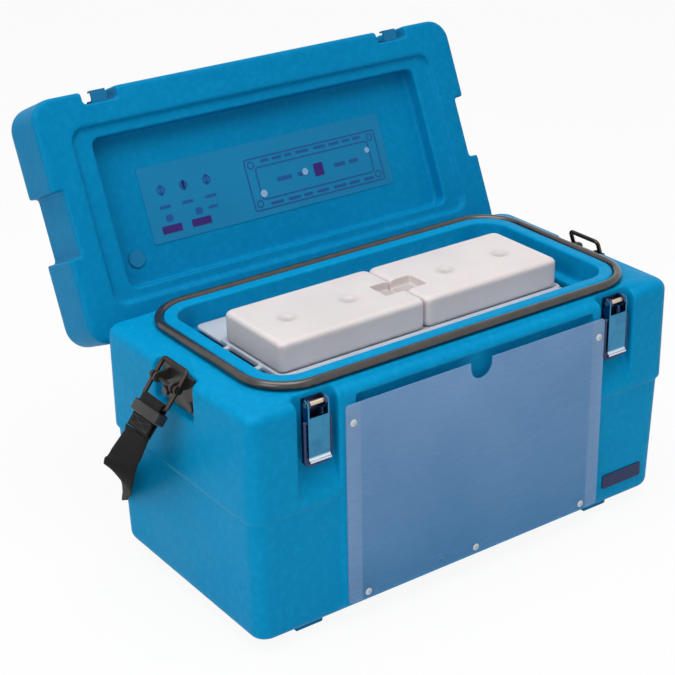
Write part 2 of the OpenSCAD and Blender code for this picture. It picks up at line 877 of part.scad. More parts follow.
// Way of the webbing's middle line from the left end, round the back, to the right end.
// Each row is x, y, z and the compass direction that the webbing's face looks in.
strap_low = 27;
reach_out = ring_reach + end_drop + 0.6;
function way_end(side, swing) =
  [side * (ring_x + reach_out * sin(swing)), 0, ring_z - reach_out * cos(swing), side > 0 ? 0 : 190];
WAY = [way_end(-1, left_swing),
       [-335, -6, 197, 199], [-344, -9, 189, 203], [-344, -5, 176, 199],
       [-331, 15, 159, 193], [-309, 58, 130, 177], [-287, 100, 102, 163],
       [-272.5, 127, 84, 148], [-260, 140, 73, 118], [-230, 143, 63, 95],
       [-170, 144, 52, 90], [-80, 144, 36, 90], [0, 143, strap_low, 90],
       [80, 144, 36, 90], [170, 144, 52, 90], [230, 143, 64, 85],
       [260, 140, 74, 62], [272.5, 127, 86, 32], [282, 100, 103, 20],
       [293, 68, 125, 10], [305, 38, 148, 5], [312, 14, 168, 2], [309, 3, 187, 0],
       way_end(1, right_swing)];

function spline(a, b, c, d, t) =
  0.5 * (2 * b + (c - a) * t + (2 * a - 5 * b + 4 * c - d) * t * t + (3 * b - a - 3 * c + d) * t * t * t);
function way_row(i) = WAY[min(max(i, 0), len(WAY) - 1)];
function way_at(u) =
  let (i = min(floor(u), len(WAY) - 2))
  spline(way_row(i - 1), way_row(i), way_row(i + 1), way_row(i + 2), u - i);
function unit(v) = v / norm(v);
function xyz(v) = [v[0], v[1], v[2]];
function way_dir(u) =
  let (e = 0.02)
  u < e ? [-sin(left_swing), 0, -cos(left_swing)]
  : u > len(WAY) - 1 - e ? [-sin(right_swing), 0, cos(right_swing)]
  : unit(xyz(way_at(u + e)) - xyz(way_at(u - e)));
function way_ring(u) =
  let (p = way_at(u), t = way_dir(u),
       across = unit(cross([cos(p[3]), sin(p[3]), 0], t)),
       face = unit(cross(t, across)))
  [for (s = [[-1, -1], [1, -1], [1, 1], [-1, 1]])
    xyz(p) + s[0] * across * strap_w / 2 + s[1] * face * strap_t / 2];

module shoulder_strap() {
  steps = 4 * (len(WAY) - 1);
  rings = [for (i = [0:steps]) way_ring(i / 4)];
  points = [for (ring = rings, p = ring) p];
  walls = [for (i = [0:steps - 1], k = [0:3], half = [0, 1])
           let (a = 4 * i + k, b = 4 * i + (k + 1) % 4)
           half == 0 ? [a, b + 4, b] : [a, a + 4, b + 4]];
  caps = [[1, 2, 3], [0, 1, 3], [4 * steps + 2, 4 * steps + 1, 4 * steps],
          [4 * steps + 3, 4 * steps + 2, 4 * steps]];
  color("#171719") polyhedron(points = points, faces = concat(walls, caps));
}

// Tray and ice packs
rim_t = 3;          // thickness of the tray's low rim round the packs
tab_w = 65;         // length of each end tab along the depth
tab_y = 4.5;        // middle of the tabs
tab_reach = 206;    // reach of the tabs' grip bars from the middle
bar_t = 5;          // thickness and height of a grip bar

// The tray rests on the two long ledges. A tab with a finger window and a grip bar stands out at each end
module pack_tray() {
  l = 2 * pack_l + pack_gap + 2;
  w = pack_w + 2;
  stop_h = 2.5;
  low = ledge_z + seat;
  color("whitesmoke")
    difference() {
      union() {
        translate([0, 0, low]) round_plate(l + 2 * rim_t, cavity_w - 2 * seat, 8, tray_t);
        translate([0, pack_y, low + tray_t - eps]) round_plate(l + 2 * rim_t, w + 2 * rim_t, 8, stop_h);
        for (x = SIDES) {
          translate([x * (tab_reach + l / 2) / 2, tab_y, low + tray_t / 2])
            cube([tab_reach - l / 2, tab_w, tray_t], center = true);
          translate([x * (tab_reach - bar_t / 2), tab_y, low + tray_t + bar_t / 2 - eps])
            cube([bar_t, tab_w, bar_t], center = true);
        }
      }
      translate([0, pack_y, low + tray_t]) round_plate(l, w, 6, stop_h + 2);
      for (x = SIDES)
        translate([x * (tab_reach - bar_t + l / 2 + rim_t) / 2, tab_y, low])
          cube([tab_reach - bar_t - l / 2 - rim_t, tab_w - 12, 3 * tray_t], center = true);
    }
}

pack_edge = 5;      // radius of the packs' edges
grip_l = 27;        // length of each pack's half of the finger recess
grip_w = 30;        // width of the finger recess
grip_d = 11;        // depth of the finger recess
dimple_r = 14;      // radius of the ball that forms each dimple
dimple_d = 3;       // depth of a dimple

module pack_grip(side, grow) {
  translate([-side * pack_l / 2, -4, pack_t])
    cube([2 * (grip_l + grow), grip_w + 2 * grow, 2 * (grip_d + grow)], center = true);
}

module pack_at(side) {
  translate([side * (pack_l + pack_gap) / 2, pack_y, pack_z]) children();
}

module pack_plug_at() {
  translate([0, pack_w / 2, pack_t / 2]) children();
}

module ice_pack(side) {
  color("#f3eeee")
    pack_at(side)
      difference() {
        hull() {
          edge_slices(pack_l, pack_w, 8, pack_edge, 0, -1);
          edge_slices(pack_l, pack_w, 8, pack_edge, pack_t, 1);
        }
        pack_space(side, 0);
        pack_grip(side, 0);
        for (x = [-1, 1])
          translate([side * 11 + x * 38.5, -3, pack_t + dimple_r - dimple_d]) sphere(dimple_r);
        pack_plug_at() y_cylinder(5 + fit, 3 * pack_wall);
      }
}

// The hollow of a pack, and with a gap the frozen filling
module pack_space(side, gap) {
  in = pack_wall + 0.5 + gap;
  difference() {
    translate([0, 0, in]) round_plate(pack_l - 2 * in, pack_w - 2 * in, 6, pack_t - 2 * in - 2);
    pack_grip(side, in);
  }
}

module pack_coolant(side) {
  color("lightcyan") pack_at(side) pack_space(side, seat);
}

module pack_plug(side) {
  color("white")
    pack_at(side)
      pack_plug_at() {
        translate([0, -pack_wall / 2 + 0.2, 0]) y_cylinder(5, pack_wall);
        translate([0, 0.85, 0]) y_cylinder(8, 1.4);
      }
}

tub_shell();
tub_foam();
tub_fill_plug();
lid_gasket();
document_window();
window_screws();
name_plate();
hinge_bracket(-1);  // hinge_bracket_left
hinge_bracket(1);  // hinge_bracket_right
hinge_pin(-1);  // hinge_pin_left
hinge_pin(1);  // hinge_pin_right
hinge_screws();
latch_base(-1);  // latch_base_left
latch_base(1);  // latch_base_right
latch_rivets();
latch_pin(-1);  // latch_pin_left
latch_pin(1);  // latch_pin_right
latch_lever(-1);  // latch_lever_left
latch_lever(1);  // latch_lever_right
latch_loop(-1);  // latch_loop_left
latch_loop(1);  // latch_loop_right
lid_shell();
lid_foam();
lid_fill_plug();
lid_label();
latch_keeper(-1);  // latch_keeper_left
latch_keeper(1);  // latch_keeper_right
keeper_rivets();
strap_bracket(-1);  // strap_bracket_left
strap_bracket(1);  // strap_bracket_right
strap_bolts();
strap_pin(-1);  // strap_pin_left
strap_pin(1);  // strap_pin_right
strap_ring(-1);  // strap_ring_left
strap_ring(1);  // strap_ring_right
strap_end(-1);  // strap_end_left
strap_end(1);  // strap_end_right
strap_slider(-1);  // strap_slider_left
strap_slider(1);  // strap_slider_right
shoulder_strap();
pack_tray();
ice_pack(-1);  // ice_pack_left
ice_pack(1);  // ice_pack_right
pack_coolant(-1);  // pack_coolant_left
pack_coolant(1);  // pack_coolant_right
pack_plug(-1);  // pack_plug_left
pack_plug(1);  // pack_plug_right
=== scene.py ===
"""Looks of the blue specimen transport box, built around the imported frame."""

import json
import math
import random

import bmesh
import bpy
from mathutils import Matrix, Vector


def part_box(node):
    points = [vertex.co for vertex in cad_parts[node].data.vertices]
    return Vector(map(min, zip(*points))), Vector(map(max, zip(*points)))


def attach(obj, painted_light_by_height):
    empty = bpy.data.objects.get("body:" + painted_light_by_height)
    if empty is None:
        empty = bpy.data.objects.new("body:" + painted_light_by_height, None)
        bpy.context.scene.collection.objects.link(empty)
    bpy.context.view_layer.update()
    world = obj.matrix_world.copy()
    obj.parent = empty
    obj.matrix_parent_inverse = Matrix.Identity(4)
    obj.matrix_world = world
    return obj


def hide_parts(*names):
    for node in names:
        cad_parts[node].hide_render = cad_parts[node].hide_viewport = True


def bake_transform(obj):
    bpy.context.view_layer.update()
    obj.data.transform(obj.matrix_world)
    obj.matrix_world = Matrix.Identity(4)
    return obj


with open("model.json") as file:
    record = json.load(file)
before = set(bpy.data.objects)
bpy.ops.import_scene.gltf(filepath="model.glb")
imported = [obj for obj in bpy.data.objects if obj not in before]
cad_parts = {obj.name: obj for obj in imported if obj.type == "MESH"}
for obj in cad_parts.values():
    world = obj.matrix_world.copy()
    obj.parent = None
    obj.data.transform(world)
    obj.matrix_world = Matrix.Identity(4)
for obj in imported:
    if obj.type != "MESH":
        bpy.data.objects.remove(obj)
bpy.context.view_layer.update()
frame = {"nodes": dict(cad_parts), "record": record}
NODES = frame["nodes"]
SIDES = (-1, 1)
NAMES = {-1: "left", 1: "right"}
MM = 0.001

# Document window in millimetres: middle, lower edge, width, height and thickness, and its paler side margins
SHEET_X, SHEET_Z, SHEET_W, SHEET_H, SHEET_T = 5, 26, 340, 226, 2
MARGIN_IN, MARGIN_OUT = 152.5, 154


# Camera
AZIMUTH, ELEVATION, ROLL = math.radians(35.17), math.radians(24.80), math.radians(-1.054)
forward = Vector((math.sin(AZIMUTH) * math.cos(ELEVATION),
                  math.cos(AZIMUTH) * math.cos(ELEVATION), -math.sin(ELEVATION)))
level = forward.cross(Vector((0, 0, 1))).normalized()
above = level.cross(forward).normalized()
right = level * math.cos(ROLL) + above * math.sin(ROLL)
upward = above * math.cos(ROLL) - level * math.sin(ROLL)
camera_data = bpy.data.cameras.new("camera")
camera_data.sensor_width = 36
camera_data.lens = 92.1
camera = bpy.data.objects.new("camera", camera_data)
camera.matrix_world = Matrix.Translation((-1.0233, -1.3473, 1.0094)) @ Matrix(
    (right, upward, -forward)).transposed().to_4x4()
bpy.context.scene.collection.objects.link(camera)
bpy.context.scene.camera = camera


# Materials
class Net:
    """A small helper that wires one node material."""

    def __init__(self, name):
        self.mat = bpy.data.materials.new(name)
        self.mat.use_nodes = True
        self.tree = self.mat.node_tree
        self.shader = self.tree.nodes["Principled BSDF"]
        self.position = self.add("ShaderNodeTexCoord").outputs["Object"]

    def add(self, kind, **values):
        node = self.tree.nodes.new(kind)
        for key, value in values.items():
            if key in node.inputs:
                node.inputs[key].default_value = value
            else:
                setattr(node, key, value)
        return node

    def link(self, a, b):
        self.tree.links.new(a, b)

    def noise(self, scale, detail=3, roughness=0.55, stretch=None):
        node = self.add("ShaderNodeTexNoise", Scale=scale, Detail=detail, Roughness=roughness)
        vector = self.position
        if stretch:
            mapping = self.add("ShaderNodeMapping", Scale=stretch)
            self.link(vector, mapping.inputs["Vector"])
            vector = mapping.outputs["Vector"]
        self.link(vector, node.inputs["Vector"])
        return node.outputs["Fac"]

    def span(self, value, low, top_painted_light, start=0.0, end=1.0):
        node = self.add("ShaderNodeMapRange")
        ends = (("From Min", start), ("From Max", end), ("To Min", low), ("To Max", top_painted_light))
        for key, number in ends:
            node.inputs[key].default_value = number
        self.link(value, node.inputs["Value"])
        return node.outputs["Result"]

    def math(self, operation, a, b=None):
        node = self.add("ShaderNodeMath", operation=operation)
        for socket, value in zip(node.inputs, (a, b)):
            if isinstance(value, (int, float)):
                socket.default_value = value
            elif value is not None:
                self.link(value, socket)
        return node.outputs[0]

    def mix(self, factor, a, b):
        node = self.add("ShaderNodeMix", data_type="RGBA")
        self.link(factor, node.inputs["Factor"])
        for socket, value in ((node.inputs[6], a), (node.inputs[7], b)):
            if isinstance(value, tuple):
                socket.default_value = (*value, 1)
            else:
                self.link(value, socket)
        return node.outputs[2]

    def wear(self, start, end):
        """0 on flat and hollow places, 1 on outward edges."""
        geometry = self.add("ShaderNodeNewGeometry")
        return self.span(geometry.outputs["Pointiness"], 0, 1, start, end)

    def bump(self, height, distance, strength=1.0, below=None):
        node = self.add("ShaderNodeBump", Strength=strength, Distance=distance)
        self.link(height, node.inputs["Height"])
        if below is not None:
            self.link(below, node.inputs["Normal"])
        return node.outputs["Normal"]

    def set(self, **sockets):
        names = {"color": "Base Color", "roughness": "Roughness", "normal": "Normal", "metallic": "Metallic",
                 "alpha": "Alpha", "sheen": "Sheen Weight", "specular": "Specular IOR Level",
                 "subsurface": "Subsurface Weight", "subsurface_scale": "Subsurface Scale"}
        for key, value in sockets.items():
            socket = self.shader.inputs[names[key]]
            if isinstance(value, (int, float)):
                socket.default_value = value
            elif isinstance(value, tuple):
                socket.default_value = (*value, 1)
            else:
                self.link(value, socket)
        return self.mat


def moulded(name, color, dark, light, roughness=0.42):
    """Rotationally moulded plastic: faint orange peel, slow tone changes and rubbed edges."""
    n = Net(name)
    tone = n.mix(n.span(n.noise(5, 4), 0, 1, 0.3, 0.7), dark, color)
    speck = n.mix(n.span(n.noise(140, 2), 0, 0.35, 0.45, 0.75), tone, light)
    rubbed = n.mix(n.span(n.wear(0.52, 0.60), 0, 0.55), speck, light)
    fine = n.bump(n.noise(900, 2), 0.00012, 0.35)
    peel = n.bump(n.noise(110, 2), 0.0005, 0.16, fine)
    gloss = n.span(n.noise(24, 4), roughness - 0.06, roughness + 0.08, 0.3, 0.7)
    return n.set(color=rubbed, roughness=gloss, normal=peel, specular=0.04)


def metal(name, color, stain, roughness=0.3, highlight_below=None):
    """Drawn steel with fine streaks and slight staining; below a given height it carries a painted
    highlight.
    """
    n = Net(name)
    streak = n.noise(30, 4, stretch=(40, 1, 40))
    tone = n.mix(n.span(n.noise(60, 4), 0, 0.7, 0.45, 0.7), color, stain)
    if highlight_below:
        place = n.add("ShaderNodeSeparateXYZ")
        n.link(n.position, place.inputs[0])
        # painted highlight: a pale colour below the given height, where the lever's lower lip catches the
        # light
        painted_highlight = n.span(place.outputs["Z"], 1, 0, highlight_below, highlight_below + 2 * MM)
        tone = n.mix(painted_highlight, tone, (0.62, 0.70, 0.80))
    gloss = n.span(streak, roughness - 0.08, roughness + 0.14, 0.3, 0.7)
    normal = n.bump(streak, 0.00008, 0.3)
    return n.set(color=tone, roughness=gloss, metallic=1.0, normal=normal)


def rubber(name):
    """Black rubber with a brown bloom and a soft gloss."""
    n = Net(name)
    tone = n.mix(n.span(n.noise(70, 4), 0, 1, 0.4, 0.7), (0.012, 0.008, 0.006), (0.030, 0.020, 0.015))
    gloss = n.span(n.noise(40), 0.17, 0.27, 0.3, 0.7)
    return n.set(color=tone, roughness=gloss, normal=n.bump(n.noise(700, 3), 0.00015, 0.3), specular=0.8)


def webbing(name):
    """Woven strap: ribs along and across, a dry sheen and lint."""
    n = Net(name)
    uv = n.add("ShaderNodeUVMap", uv_map="weave").outputs["UV"]
    waves = []
    for direction, scale in (("X", 7.2), ("Y", 5.6)):
        wave = n.add("ShaderNodeTexWave", wave_type="BANDS", bands_direction=direction, Scale=scale)
        wave.inputs["Distortion"].default_value = 0.25
        n.link(uv, wave.inputs["Vector"])
        waves.append(wave.outputs["Fac"])
    weave = n.math("MULTIPLY", *waves)
    tone = n.mix(n.span(weave, 0, 1), (0.003, 0.0025, 0.0025), (0.016, 0.014, 0.013))
    lint = n.mix(n.span(n.noise(900, 2), 0, 0.5, 0.62, 0.8), tone, (0.050, 0.045, 0.042))
    normal = n.bump(weave, 0.0004, 0.6)
    return n.set(color=lint, roughness=0.78, normal=normal, sheen=0.04, specular=0.15)


def satin_black(name, color, worn, roughness=0.4):
    """Painted or moulded black with paler rubbed edges."""
    n = Net(name)
    tone = n.mix(n.span(n.wear(0.53, 0.62), 0, 0.6), color, worn)
    gloss = n.span(n.noise(50), roughness - 0.07, roughness + 0.1, 0.3, 0.7)
    return n.set(color=tone, roughness=gloss, normal=n.bump(n.noise(900, 3), 0.0001, 0.3))


def clear_sheet(name):
    """Hazy clear sheet, paler towards its top as painted light, and paler along its two side margins."""
    n = Net(name)
    place = n.add("ShaderNodeSeparateXYZ")
    n.link(n.position, place.inputs[0])
    cloud = n.span(n.noise(9, 4), 0, 1, 0.3, 0.7)
    low = n.mix(cloud, (0.08, 0.29, 0.57), (0.12, 0.33, 0.62))
    # painted light: the sheet's tone grows paler towards its top
    top_painted_light = n.mix(cloud, (0.22, 0.42, 0.72), (0.27, 0.47, 0.77))
    painted_light_by_height = n.mix(n.span(place.outputs["Z"], 0, 1, 0.04, 0.24), low, top_painted_light)
    aside = n.math("ABSOLUTE", n.math("SUBTRACT", place.outputs["X"], SHEET_X * MM))
    margin = n.span(aside, 0, 0.4, MARGIN_IN * MM, MARGIN_OUT * MM)
    haze = n.mix(margin, painted_light_by_height, (0.40, 0.56, 0.80))
    scratch = n.noise(60, 3, stretch=(1, 1, 14))
    normal = n.bump(scratch, 0.00005, 0.15)
    alpha = n.span(n.noise(7, 3), 0.50, 0.60, 0.3, 0.7)
    return n.set(color=haze, roughness=n.span(scratch, 0.2, 0.36, 0.3, 0.7), alpha=alpha,
                 normal=normal, specular=0.25)


def coated(name, color, dark, roughness=0.3):
    """Smooth printed, painted or plated surface with slow tone changes."""
    n = Net(name)
    tone = n.mix(n.span(n.noise(12, 4), 0, 1, 0.3, 0.7), color, dark)
    gloss = n.span(n.noise(30), roughness - 0.06, roughness + 0.06, 0.3, 0.7)
    return n.set(color=tone, roughness=gloss, normal=n.bump(n.noise(420, 2), 0.00006, 0.3), specular=0.2)


# Dimples of the ice packs: middle of each mirrored pair, half the pair's pitch, and their line
PACK_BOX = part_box("ice_pack_left")
PAIR_X, PAIR_HALF = 102.75 * MM, 38.5 * MM
PAIR_Y = (PACK_BOX[0][1] + PACK_BOX[1][1]) / 2 - 3 * MM


def waxy_white(name, color, shade, top=None):
    """Blow-moulded white plastic, slightly translucent; hollows below the height top get painted shade."""
    n = Net(name)
    tone = n.mix(n.span(n.noise(14, 4), 0, 1, 0.3, 0.7), color, shade)
    if top:
        place = n.add("ShaderNodeSeparateXYZ")
        n.link(n.position, place.inputs[0])
        facing = n.add("ShaderNodeSeparateXYZ")
        n.link(n.add("ShaderNodeTexCoord").outputs["Normal"], facing.inputs[0])
        hollow_painted_shade = n.span(place.outputs["Z"], 0.75, 0, top - 3 * MM, top - 0.3 * MM)
        # painted shade as a soft dark halo round the dimples, which lie in two mirrored pairs
        along = n.math("ABSOLUTE", n.math("SUBTRACT", n.math("ABSOLUTE", place.outputs["X"]), PAIR_X))
        u = n.math("SUBTRACT", along, PAIR_HALF)
        v = n.math("SUBTRACT", place.outputs["Y"], PAIR_Y)
        away = n.math("SQRT", n.math("ADD", n.math("MULTIPLY", u, u), n.math("MULTIPLY", v, v)))
        dimple_painted_shade = n.math("MAXIMUM", hollow_painted_shade, n.span(away, 0.5, 0, 5 * MM, 14 * MM))
        level_only = n.span(facing.outputs["Z"], 0, 1, 0.75, 0.92)
        # painted shade: hollows and the halo round the dimples are darkened on upward faces
        tone = n.mix(n.math("MULTIPLY", dimple_painted_shade, level_only), tone, (0.42, 0.37, 0.36))
    fine = n.bump(n.noise(700, 3), 0.00012, 0.3)
    wavy = n.bump(n.noise(34, 2), 0.0012, 0.25, fine)
    return n.set(color=tone, roughness=n.span(n.noise(40), 0.36, 0.52, 0.3, 0.7), normal=wavy,
                 subsurface=0.3, subsurface_scale=0.008)


M = {
    "shell_blue": moulded("moulded_blue", (0.0005, 0.290, 0.570),
                          (0.0005, 0.255, 0.520), (0.008, 0.37, 0.67)),
    # lid: the tub's blue plastic, darkened here as painted shade on the lid's inner face
    "lid_blue_painted_shade": moulded("moulded_blue_lid_painted_shade", (0.0005, 0.222, 0.455),
                        (0.0005, 0.190, 0.410), (0.006, 0.29, 0.55)),
    "foam": moulded("foam_yellow", (0.70, 0.58, 0.27), (0.60, 0.48, 0.22), (0.8, 0.7, 0.4), 0.8),
    "gasket_black": rubber("gasket_rubber"),
    "clear_sheet": clear_sheet("clear_sheet"),
    "latch_steel": metal("latch_steel", (0.42, 0.46, 0.52), (0.24, 0.26, 0.30), 0.26),
    # loop: steel coloured dark navy as painted shade of the latch recess
    "loop_painted_shade": metal("loop_painted_shade", (0.045, 0.060, 0.135), (0.030, 0.040, 0.090), 0.3),
    # lever: steel tinted blue as a painted reflection of the blue box, with a painted highlight along its
    # lower lip
    "lever_painted_reflection": metal("lever_painted_reflection", (0.050, 0.230, 0.400), (0.035, 0.150, 0.290), 0.24,
                         highlight_below=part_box("latch_lever_left")[0][2] + 3.5 * MM),
    # latch base and rivets: steel coloured dark navy as painted shade of the latch recess
    "base_painted_shade": metal("base_painted_shade", (0.065, 0.080, 0.170), (0.035, 0.045, 0.100), 0.3),
    "screw_nickel": coated("screw_nickel", (0.66, 0.70, 0.74), (0.52, 0.56, 0.60), 0.28),
    "keeper_blue": coated("keeper_blue", (0.0008, 0.155, 0.330), (0.0010, 0.120, 0.280), 0.3),
    "plug_blue": coated("plug_blue", (0.0015, 0.19, 0.395), (0.0015, 0.165, 0.35), 0.4),
    "pin_brass": metal("pin_brass", (0.62, 0.50, 0.38), (0.42, 0.33, 0.24), 0.34),
    "plate_navy": coated("plate_navy", (0.012, 0.022, 0.085), (0.016, 0.030, 0.11)),
    "film_teal": coated("film_teal", (0.0004, 0.200, 0.405), (0.0005, 0.180, 0.370), 0.34),
    "webbing_black": webbing("webbing_black"),
    "slider_black": satin_black("slider_black", (0.006, 0.006, 0.006), (0.030, 0.028, 0.026), 0.34),
    "bracket_black": satin_black("bracket_black", (0.007, 0.006, 0.006), (0.040, 0.034, 0.030)),
    "ring_bronze": metal("ring_bronze", (0.060, 0.044, 0.036), (0.030, 0.023, 0.020), 0.36),
    # tray: white plastic toned down to a bluish grey as painted shade
    "tray_white": waxy_white("tray_white", (0.56, 0.60, 0.66), (0.48, 0.53, 0.60)),
    "pack_white": waxy_white("pack_white", (0.745, 0.685, 0.675), (0.69, 0.635, 0.63), PACK_BOX[1][2]),
    "coolant": waxy_white("coolant_ice", (0.55, 0.70, 0.78), (0.48, 0.64, 0.74)),
    "ink_violet": coated("ink_violet", (0.028, 0.008, 0.130), (0.035, 0.010, 0.150), 0.3),
    "ink_blue": coated("ink_blue", (0.006, 0.070, 0.250), (0.006, 0.090, 0.29), 0.3),
    "ink_pale": coated("ink_pale", (0.25, 0.42, 0.62), (0.20, 0.38, 0.60), 0.3),
    "thread_black": satin_black("thread_black", (0.045, 0.042, 0.040), (0.07, 0.065, 0.06), 0.7),
}


def dress(obj, slot, material=None):
    obj.data.materials.clear()
    obj.data.materials.append(M[material or slot])
    return obj


SPECIAL = {"lid_shell": "lid_blue_painted_shade", "lid_fill_plug": "plug_blue",
           "latch_lever_left": "lever_painted_reflection", "latch_lever_right": "lever_painted_reflection",
           "latch_base_left": "base_painted_shade", "latch_base_right": "base_painted_shade",
           "latch_rivets": "base_painted_shade",
           "latch_keeper_left": "keeper_blue", "latch_keeper_right": "keeper_blue",
           "keeper_rivets": "keeper_blue", "latch_loop_left": "loop_painted_shade", "latch_loop_right": "loop_painted_shade"}
for part in frame["record"]["subparts"]:
    obj = NODES[part["node"]]
    look = SPECIAL.get(part["node"], part["material_slot"])
    obj.data.materials.clear()
    obj.data.materials.append(M[look])


# Mesh helpers
def mesh_object(name, bm):
    mesh = bpy.data.meshes.new(name)
    bm.normal_update()
    bm.to_mesh(mesh)
    bm.free()
    obj = bpy.data.objects.new(name, mesh)
    bpy.context.scene.collection.objects.link(obj)
    return obj


def smooth(obj, angle=math.radians(35)):
    obj.data.polygons.foreach_set("use_smooth", [True] * len(obj.data.polygons))
    obj.data.set_sharp_from_angle(angle=angle)
    return obj


def apply_all(obj):
    deps = bpy.context.evaluated_depsgraph_get()
    mesh = bpy.data.meshes.new_from_object(obj.evaluated_get(deps))
    obj.modifiers.clear()
    old = obj.data
    obj.data = mesh
    bpy.data.meshes.remove(old)
    return obj


def loose_shells(bm):
    """The connected shells of a mesh, largest box first."""
    seen, shells = set(), []
    for face in bm.faces:
        if face in seen:
            continue
        shell, stack = [], [face]
        seen.add(face)
        while stack:
            f = stack.pop()
            shell.append(f)
            for edge in f.edges:
                for g in edge.link_faces:
                    if g not in seen:
                        seen.add(g)
                        stack.append(g)
        shells.append(shell)

    def extent(shell):
        xs = [v.co for f in shell for v in f.verts]
        return sum(max(c[i] for c in xs) - min(c[i] for c in xs) for i in range(3))

    return sorted(shells, key=extent, reverse=True)


def softened(node, voxel, rounds, name):
    """A copy of a moulded node with its hidden hollow dropped and its edges rounded as in a mould."""
    bm = bmesh.new()
    bm.from_mesh(NODES[node].data)
    bmesh.ops.remove_doubles(bm, verts=bm.verts, dist=1e-6)
    for shell in loose_shells(bm)[1:]:
        bmesh.ops.delete(bm, geom=shell, context="FACES")
    obj = mesh_object(name, bm)
    remesh = obj.modifiers.new("voxels", "REMESH")
    remesh.mode = "VOXEL"
    remesh.voxel_size = voxel
    soften = obj.modifiers.new("soften", "SMOOTH")
    soften.factor = 0.5
    soften.iterations = rounds
    apply_all(obj)
    thin = obj.modifiers.new("thin", "DECIMATE")
    thin.decimate_type = "COLLAPSE"
    thin.ratio = 0.35
    apply_all(obj)
    obj.data.polygons.foreach_set("use_smooth", [True] * len(obj.data.polygons))
    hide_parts(node)
    return obj


coarse = 1
MOULDINGS = (("tub_shell", 1.8, 5, "tub_moulding", "shell_blue", "shell_blue", "base"),
             ("lid_shell", 1.8, 7, "lid_moulding", "shell_blue", "lid_blue_painted_shade", "lid"),
             ("ice_pack_left", 1.2, 5, "ice_pack_left_moulding", "pack_white", "pack_white", "pack_left"),
             ("ice_pack_right", 1.2, 5, "ice_pack_right_moulding", "pack_white", "pack_white", "pack_right"),
             ("pack_tray", 1.2, 3, "pack_tray_moulding", "tray_white", "tray_white", "tray"))
for node, voxel, rounds, name, slot, look, painted_light_by_height in MOULDINGS:
    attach(dress(softened(node, voxel * MM * coarse, rounds // coarse, name), slot, look), painted_light_by_height)

for name in ("latch_lever", "latch_base", "latch_keeper", "hinge_bracket", "strap_bracket"):
    for side in SIDES:
        smooth(NODES[f"{name}_{NAMES[side]}"])


# Webbing
def ribbon(name, rows, width, thick):
    """Webbing through rows of (centre, across, face); its weave map is in centimetres."""
    profile = []
    r = thick / 2
    turns, spans = 4, 6
    for way in (1, -1):
        for k in range(turns + 1):
            a = -way * math.pi / 2 + math.pi * k / turns
            profile.append((way * (width / 2 - r) + r * math.cos(a), r * math.sin(a)))
        for k in range(1, spans):
            profile.append((way * (width / 2 - r - (width - 2 * r) * k / spans), way * r))
    bm = bmesh.new()
    weave = bm.loops.layers.uv.new("weave")
    rings, lengths, total = [], [], 0.0
    for i, (centre, across, face) in enumerate(rows):
        if i:
            total += (centre - rows[i - 1][0]).length
        lengths.append(total)
        rings.append([bm.verts.new(centre + across * p[0] + face * p[1]) for p in profile])
    count = len(profile)
    around = [0.0]
    for k in range(count):
        a, b = profile[k], profile[(k + 1) % count]
        around.append(around[-1] + math.dist(a, b))
    for i in range(len(rings) - 1):
        for k in range(count):
            m = (k + 1) % count
            f = bm.faces.new((rings[i][k], rings[i][m], rings[i + 1][m], rings[i + 1][k]))
            corners = ((around[k], lengths[i]), (around[k + 1], lengths[i]),
                       (around[k + 1], lengths[i + 1]), (around[k], lengths[i + 1]))
            for loop, (u, v) in zip(f.loops, corners):
                loop[weave].uv = (u * 100, v * 100)
    for ring, flip in ((rings[0], True), (rings[-1], False)):
        bm.faces.new(list(reversed(ring)) if flip else ring)
    bmesh.ops.recalc_face_normals(bm, faces=bm.faces)
    obj = mesh_object(name, bm)
    smooth(obj, math.radians(50))
    return dress(obj, "webbing_black")


# Route of the shoulder strap in millimetres: x, y, z and the compass direction of the webbing's face
RING_X, RING_Z, REACH = 282, 258, 55.6
SWING = {-1: 38, 1: 20}


def way_end(side):
    a = math.radians(SWING[side])
    return (side * (RING_X + REACH * math.sin(a)), 0, RING_Z - REACH * math.cos(a), 0 if side > 0 else 190)


WAY = [way_end(-1),
       (-335, -6, 197, 199), (-344, -9, 189, 203), (-344, -5, 176, 199),
       (-331, 15, 159, 193), (-309, 58, 130, 177), (-287, 100, 102, 163),
       (-272.5, 127, 84, 148), (-260, 140, 73, 118), (-230, 143, 63, 95),
       (-170, 144, 52, 90), (-80, 144, 36, 90), (0, 143, 27, 90),
       (80, 144, 36, 90), (170, 144, 52, 90), (230, 143, 64, 85),
       (260, 140, 74, 62), (272.5, 127, 86, 32), (282, 100, 103, 20),
       (293, 68, 125, 10), (305, 38, 148, 5), (312, 14, 168, 2), (309, 3, 187, 0),
       way_end(1)]


def way_at(u):
    """Point and compass direction at row u, on a smooth curve through the rows."""
    i = min(int(u), len(WAY) - 2)
    t = u - i
    a, b, c, d = (WAY[min(max(i + k, 0), len(WAY) - 1)] for k in (-1, 0, 1, 2))
    return [0.5 * (2 * q + (r - p) * t + (2 * p - 5 * q + 4 * r - s) * t * t
                   + (3 * q - p - 3 * r + s) * t ** 3) for p, q, r, s in zip(a, b, c, d)]


def way_row(u):
    """Centre, across and face of the webbing at row u; it leaves each ring straight along its swing."""
    e = 0.02
    p = way_at(u)
    if u < e:
        t = Vector((-math.sin(math.radians(SWING[-1])), 0, -math.cos(math.radians(SWING[-1]))))
    elif u > len(WAY) - 1 - e:
        t = Vector((-math.sin(math.radians(SWING[1])), 0, math.cos(math.radians(SWING[1]))))
    else:
        t = (Vector(way_at(u + e)[:3]) - Vector(way_at(u - e)[:3])).normalized()
    compass = math.radians(p[3])
    across = Vector((math.cos(compass), math.sin(compass), 0)).cross(t).normalized()
    return Vector(p[:3]) * MM, across, t.cross(across).normalized()


